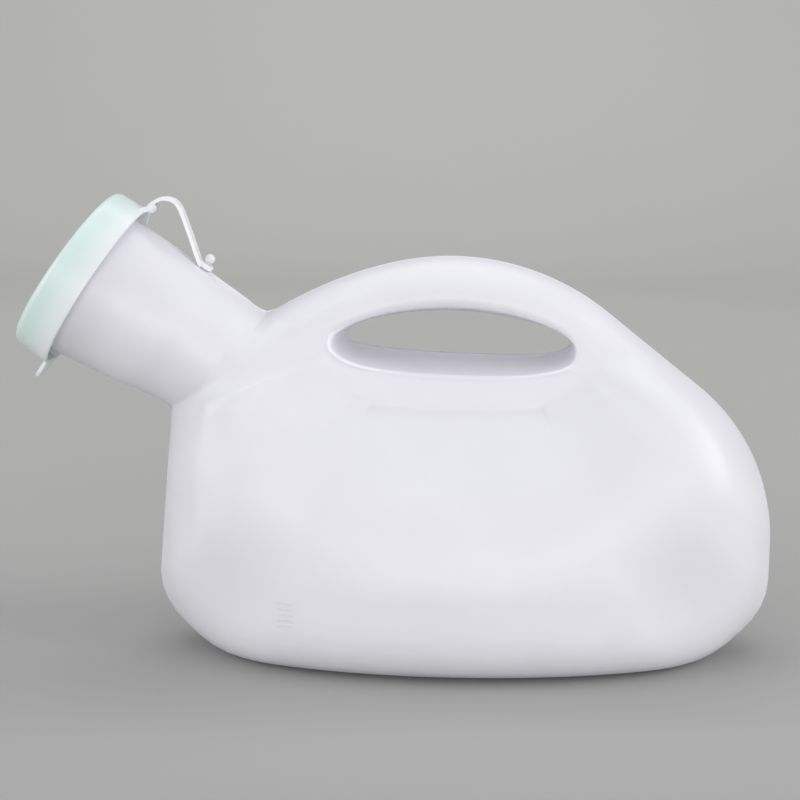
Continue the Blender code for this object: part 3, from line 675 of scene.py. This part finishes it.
def lug(name, root, across):  # round end about the bar, drawn out to the skirt
    rim = [(root, cap["setback"]), (root, cap["earRoot"])]
    radius, steps = cap["lugRadius"], 14
    for step in range(steps + 1):
        angle = math.radians(cap["lugStart"] - cap["lugSweep"] * step / steps)
        rim.append((barReach + radius * math.cos(angle), barDepth + radius * math.sin(angle)))
    half = cap["armWidth"] / 2.0
    layers = [[collarCentre + capUp * reach + capAxis * depth + sideways * (across + side)
               for reach, depth in rim] for side in (-half, half)]
    return prism(name, *layers)


def buildCap():
    piece = newPiece("capShell", turned("capShell", capProfile(), collarCentre, capAxis, cap["sides"]),
                     mintPolyethylene)
    for point in piece.data.vertices:  # the skirt's low side hangs a little further down the neck
        offset = point.co - collarCentre
        low = 0.5 - 0.5 * offset.dot(capUp) / skirtOuter
        hang = 1.0 - min(max(offset.dot(capAxis) / mouth["lipHeight"], 0.0), 1.0)
        point.co -= capAxis * (cap["slant"] * low * hang)

    def rootFor(half):  # deep enough for the corners of a flat root to lie inside the round skirt
        return skirtOuter - cap["wall"] * cap["bury"] - half ** 2 / (2.0 * skirtOuter)

    edge = collarCentre + capAxis * (cap["setback"] - cap["slant"])
    tabHalf = cap["tabWidth"] / 2.0
    combine(piece, tongue("pullTab", rootFor(tabHalf), skirtOuter + cap["tabLength"], tabHalf,
                          cap["tabThick"], cap["tabLength"] * cap["tabCorner"], edge, -capUp, capAxis))
    inner = strap["width"] / 2.0 + strap["eyeGap"]
    reach = inner + cap["armWidth"] / 2.0
    for sign in (-1.0, 1.0):
        combine(piece, lug("earLug", rootFor(inner), sign * reach))
    bar = [(0.0, -reach), (cap["barRadius"], -reach), (cap["barRadius"], reach), (0.0, reach)]
    combine(piece, turned("earBar", bar, barCentre, sideways, 20))
    softEdge = piece.modifiers.new("softEdge", "BEVEL")
    softEdge.width = cap["bevel"]
    softEdge.segments = 2
    softEdge.limit_method = "ANGLE"
    softEdge.angle_limit = math.radians(50)
    finishedMesh(piece)
    piece.data.set_sharp_from_angle(angle=math.radians(40))
    return piece


capShell = buildCap()
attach(capShell, "cap")
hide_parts("cap")
print("cap:", len(capShell.data.polygons), "faces")


# Strap: ribbed band from the cap's ear over to the stud on the neck

def strapPath(steps):
    eye = cap["barRadius"] + strap["eyeGap"] + strap["eyeWall"] / 2.0
    button = studFoot + neckNormal * (strap["buttonGap"] + strap["thick"] / 2.0)
    knots = [barCentre + Vector((-eye, 0.0, 0.0)), barCentre + Vector((0.0, 0.0, eye))]
    knots += [barCentre + flat(strap[name]) for name in ("crest", "bend", "fall")]
    knots += [button + neckLine * (strap["buttonRadius"] * strap["landing"]), button,
              button - neckLine * strap["buttonRadius"]]
    path = []
    for place in range(1, len(knots) - 2):
        before, start, end, after = knots[place - 1:place + 3]
        for step in range(steps):
            share = step / steps
            path.append(0.5 * (2.0 * start + (end - before) * share
                               + (2.0 * before - 5.0 * start + 4.0 * end - after) * share ** 2
                               + (3.0 * start - before - 3.0 * end + after) * share ** 3))
    return path[:-int(steps * strap["trim"])]


def buildStrap():
    path = strapPath(strap["pathSteps"])
    half, thick = strap["width"] / 2.0, strap["thick"] / 2.0
    rail = strap["railWidth"]
    railEdges = [half, half - rail * 0.25, half - rail * 0.75, half - rail]
    acrossPlaces = railEdges + [-across for across in railEdges[::-1]]
    points, faces = [], []
    travelled = 0.0
    for place, centre in enumerate(path):
        if place:
            travelled += (centre - path[place - 1]).length
        ahead = path[min(place + 1, len(path) - 1)] - path[max(place - 1, 0)]
        lift = Vector((-ahead.z, 0.0, ahead.x)).normalized()
        rib = strap["ribHeight"] * (0.5 + 0.5 * math.cos(2.0 * math.pi * travelled / strap["ribPitch"])) ** 2
        for across in acrossPlaces:
            onRail = abs(across) > half - rail * 0.9 and abs(across) < half
            height = strap["railHeight"] if onRail else (0.0 if abs(across) == half else rib)
            points.append(centre + sideways * across + lift * (thick + height))
        points += [centre - sideways * half - lift * thick, centre + sideways * half - lift * thick]
    count = len(acrossPlaces) + 2
    for place in range(len(path) - 1):
        for corner in range(count):
            after = (corner + 1) % count
            faces.append([count * place + corner, count * place + after, count * place + count + after,
                          count * place + count + corner])
    faces.append(list(range(count))[::-1])
    faces.append([count * (len(path) - 1) + corner for corner in range(count)])
    piece = newPiece("strapBand", meshFrom("strapBand", points, faces, 50.0), whitePolypropylene)
    inner = cap["barRadius"] + strap["eyeGap"]
    outer = inner + strap["eyeWall"]
    eye = [(inner, -half), (outer, -half), (outer, half), (inner, half)]
    combine(piece, turned("strapEye", eye, barCentre, sideways, 32))
    hole, radius, soft = stud["radius"] + strap["eyeGap"], strap["buttonRadius"], strap["buttonSoft"]
    low, high = strap["buttonGap"], strap["buttonGap"] + strap["buttonThick"]
    button = [(hole, low), (radius - soft, low), (radius, low + soft), (radius, high - soft),
              (radius - soft, high), (hole, high)]
    combine(piece, turned("strapButton", button, studFoot, neckNormal, 40))
    through = high + strap["thick"]
    studBore = [(0.0, 0.0), (hole, 0.0), (hole, through), (0.0, through)]
    combine(piece, turned("studBore", studBore, studFoot, neckNormal, 40), "DIFFERENCE")
    past = 2.0 * half
    eyeBore = [(0.0, -past), (inner, -past), (inner, past), (0.0, past)]
    combine(piece, turned("eyeBore", eyeBore, barCentre, sideways, 32), "DIFFERENCE")
    return piece


strapBand = buildStrap()
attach(strapBand, "bottle")
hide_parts("tether_strap")
print("strap:", len(strapBand.data.polygons), "faces")


# Moulded marks: a short ladder of raised ticks low on the near side

marks = {"x": -0.0575, "lowest": 0.0190, "pitch": 0.0019, "count": 5, "length": 0.0056, "thick": 0.0007,
         "proud": 0.00022, "sunk": 0.0004, "endTaper": 0.35, "steps": 6, "rayStart": -0.3}


def buildMarks():
    surface = BVHTree.FromPolygons([point.co for point in bottleSkin.data.vertices],
                                   [face.vertices for face in bottleSkin.data.polygons])
    points, faces = [], []
    steps = marks["steps"]
    for row in range(marks["count"]):
        height = marks["lowest"] + marks["pitch"] * row
        start = len(points)
        for step in range(steps + 1):
            x = marks["x"] + marks["length"] * (step / steps - 0.5)
            taper = marks["endTaper"] if step in (0, steps) else 1.0
            hit, normal, _, _ = surface.ray_cast(Vector((x, marks["rayStart"], height)), sideways)
            if normal.y > 0.0:
                normal = -normal
            upward = Vector((0.0, 0.0, 1.0)) - normal * normal.z
            upward = upward.normalized() * (marks["thick"] / 2.0 * taper)
            crown, root = hit + normal * (marks["proud"] * taper), hit - normal * marks["sunk"]
            points += [root - upward, crown - upward * 0.5, crown + upward * 0.5, root + upward]
        for step in range(steps):
            for corner in range(4):
                after = (corner + 1) % 4
                base = start + 4 * step
                faces.append([base + corner, base + after, base + 4 + after, base + 4 + corner])
        faces.append([start, start + 1, start + 2, start + 3])
        faces.append([start + 4 * steps + corner for corner in (3, 2, 1, 0)])
    return newPiece("mouldTicks", meshFrom("mouldTicks", points, faces), blownPolyethylene)


mouldTicks = buildMarks()
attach(mouldTicks, "bottle")
print("moulded marks:", marks["count"])


# Stage: seamless grey paper, soft boxes and the camera at the photograph's angle

paper = {"halfWidth": 3.0, "near": -1.6, "turn": 1.1, "radius": 0.5, "height": 2.0, "drop": 0.0002,
         "pale": "#ACACAA", "deep": "#A8A8A6", "cloudsPerMetre": 3.0}
softBoxes = {
    "left": {"place": (-1.20, -0.40, 0.55), "aim": (0.0, 0.0, 0.07), "size": (0.9, 0.9), "power": 6.5},
    "right": {"place": (1.20, -0.30, 0.55), "aim": (0.0, 0.0, 0.07), "size": (0.9, 0.9), "power": 8.2},
    "front": {"place": (0.10, -1.30, 0.20), "aim": (0.0, 0.0, 0.05), "size": (1.6, 0.4), "power": 7.2},
    "top": {"place": (0.0, 0.00, 1.40), "aim": (0.0, 0.0, 0.07), "size": (1.3, 1.3), "power": 3.0},
    "backdrop": {"place": (-0.1, 0.75, 1.50), "aim": (-0.1, 1.6, 0.65), "size": (1.6, 1.0), "power": 15.0},
}
air = {"tone": "#E8E9EE", "strength": 0.49}
view = {"place": (0.00834, -0.57560, 0.19371), "target": (-0.02183, 0.0, 0.08689), "lens": 76.5,
        "sensor": 36.0}


def buildStage():
    material, tree = newMaterial("seamlessPaper")  # matte rolled paper: even, no gloss
    place = addNode(tree, "ShaderNodeTexCoord").outputs["Object"]
    cloud = addNode(tree, "ShaderNodeTexNoise", {"Scale": paper["cloudsPerMetre"], "Detail": 2.0},
                    {"Vector": place}).outputs["Fac"]
    shader = addNode(tree, "ShaderNodeBsdfPrincipled", {"Roughness": 0.9, "Specular IOR Level": 0.1},
                     {"Base Color": mixTones(tree, cloud, paper["deep"], paper["pale"])})
    addNode(tree, "ShaderNodeOutputMaterial", None, {"Surface": shader.outputs["BSDF"]})
    line = [(paper["near"], 0.0), (paper["turn"], 0.0)]
    for share in shares(16):
        angle = math.pi / 2.0 * share
        line.append((paper["turn"] + paper["radius"] * math.sin(angle),
                     paper["radius"] * (1.0 - math.cos(angle))))
    line.append((paper["turn"] + paper["radius"], paper["height"]))
    points = [Vector((side * paper["halfWidth"], y, z - paper["drop"]))
              for y, z in line for side in (-1.0, 1.0)]
    faces = [[2 * step, 2 * step + 1, 2 * step + 3, 2 * step + 2] for step in range(len(line) - 1)]
    floor = newPiece("paperSweep", meshFrom("paperSweep", points, faces, 80.0), material)


def aimed(name, data, place, target):  # a lamp or camera that looks at a point
    holder = bpy.data.objects.new(name, data)
    holder.location = place
    holder.rotation_euler = (Vector(target) - holder.location).to_track_quat("-Z", "Y").to_euler()
    bpy.context.scene.collection.objects.link(holder)
    return holder


def buildLights():
    for name, box in softBoxes.items():
        lamp = bpy.data.lights.new(name + "SoftBox", "AREA")
        lamp.shape = "RECTANGLE"
        lamp.size, lamp.size_y = box["size"]
        lamp.energy = box["power"]
        aimed(name + "SoftBox", lamp, box["place"], box["aim"])
    world = bpy.data.worlds.new("studioAir")
    world.use_nodes = True
    background = world.node_tree.nodes["Background"]
    background.inputs["Color"].default_value = hexColour(air["tone"])
    background.inputs["Strength"].default_value = air["strength"]
    bpy.context.scene.world = world


def buildCamera():
    lens = bpy.data.cameras.new("photoCamera")
    lens.lens = view["lens"]
    lens.sensor_width = view["sensor"]
    lens.sensor_fit = "HORIZONTAL"
    bpy.context.scene.camera = aimed("photoCamera", lens, view["place"], view["target"])


buildStage()
buildLights()
buildCamera()
bpy.context.scene.view_settings.view_transform = "Standard"
print("stage, lights and camera ready")

bpy.context.view_layer.update()
